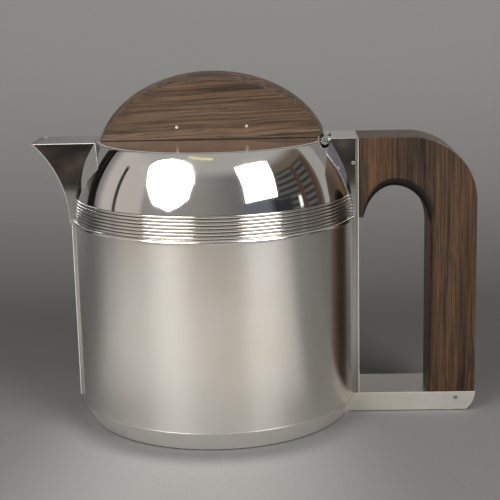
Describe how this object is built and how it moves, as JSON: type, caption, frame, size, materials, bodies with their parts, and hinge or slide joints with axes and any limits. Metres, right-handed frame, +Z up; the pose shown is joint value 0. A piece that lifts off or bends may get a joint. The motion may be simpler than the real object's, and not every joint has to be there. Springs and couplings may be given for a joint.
{
  "type": "coffee pot",
  "caption": "Straight-sided silver coffee pot with a domed shoulder, reeded band, box spout, wood handle and a flat hinged lid carrying a half-disc wood fin.",
  "frame": {"origin": "centre of the pot's round base, on the table", "axes": "+X from the pot's axis towards the handle, with the spout at -X; +Z up; the picture looks along +Y"},
  "size_m": [0.1857, 0.122, 0.1469],
  "materials": {
    "satin_silver": "satin silver, fine scratch-brushed",
    "polished_silver": "mirror-polished silver",
    "dark_wood": "oiled dark brown hardwood, straight grain"
  },
  "bodies": {
    "pot": {"body_wall": "satin_silver", "foot_ring": "satin_silver", "base_plate": "satin_silver", "bead_wire": "polished_silver", "reeded_band": "polished_silver", "shoulder_dome": "polished_silver", "mouth_ring": "polished_silver", "spout_front": "polished_silver", "spout_cheek_near": "polished_silver", "spout_cheek_far": "polished_silver", "spout_top": "polished_silver", "back_strip": "polished_silver", "bracket_cheek_near": "polished_silver", "bracket_cheek_far": "polished_silver", "bracket_top": "polished_silver", "lower_bracket": "satin_silver", "lower_bracket_floor": "satin_silver", "handle": "dark_wood", "handle_pins": "satin_silver", "bracket_knuckles": "polished_silver", "hinge_pin": "satin_silver"},
    "lid": {"lid_plate": "polished_silver", "lid_flange": "polished_silver", "lid_fin": "dark_wood", "fin_tangs": "satin_silver", "fin_pins": "satin_silver", "lid_knuckle": "polished_silver"}
  },
  "joints": [
    {"name": "lid_hinge", "type": "hinge", "parent": "pot", "child": "lid", "pos_m": [0.04682, 0, 0.1184], "axis": [0, 1, 0], "range_deg": [0, 70]}
  ]
}
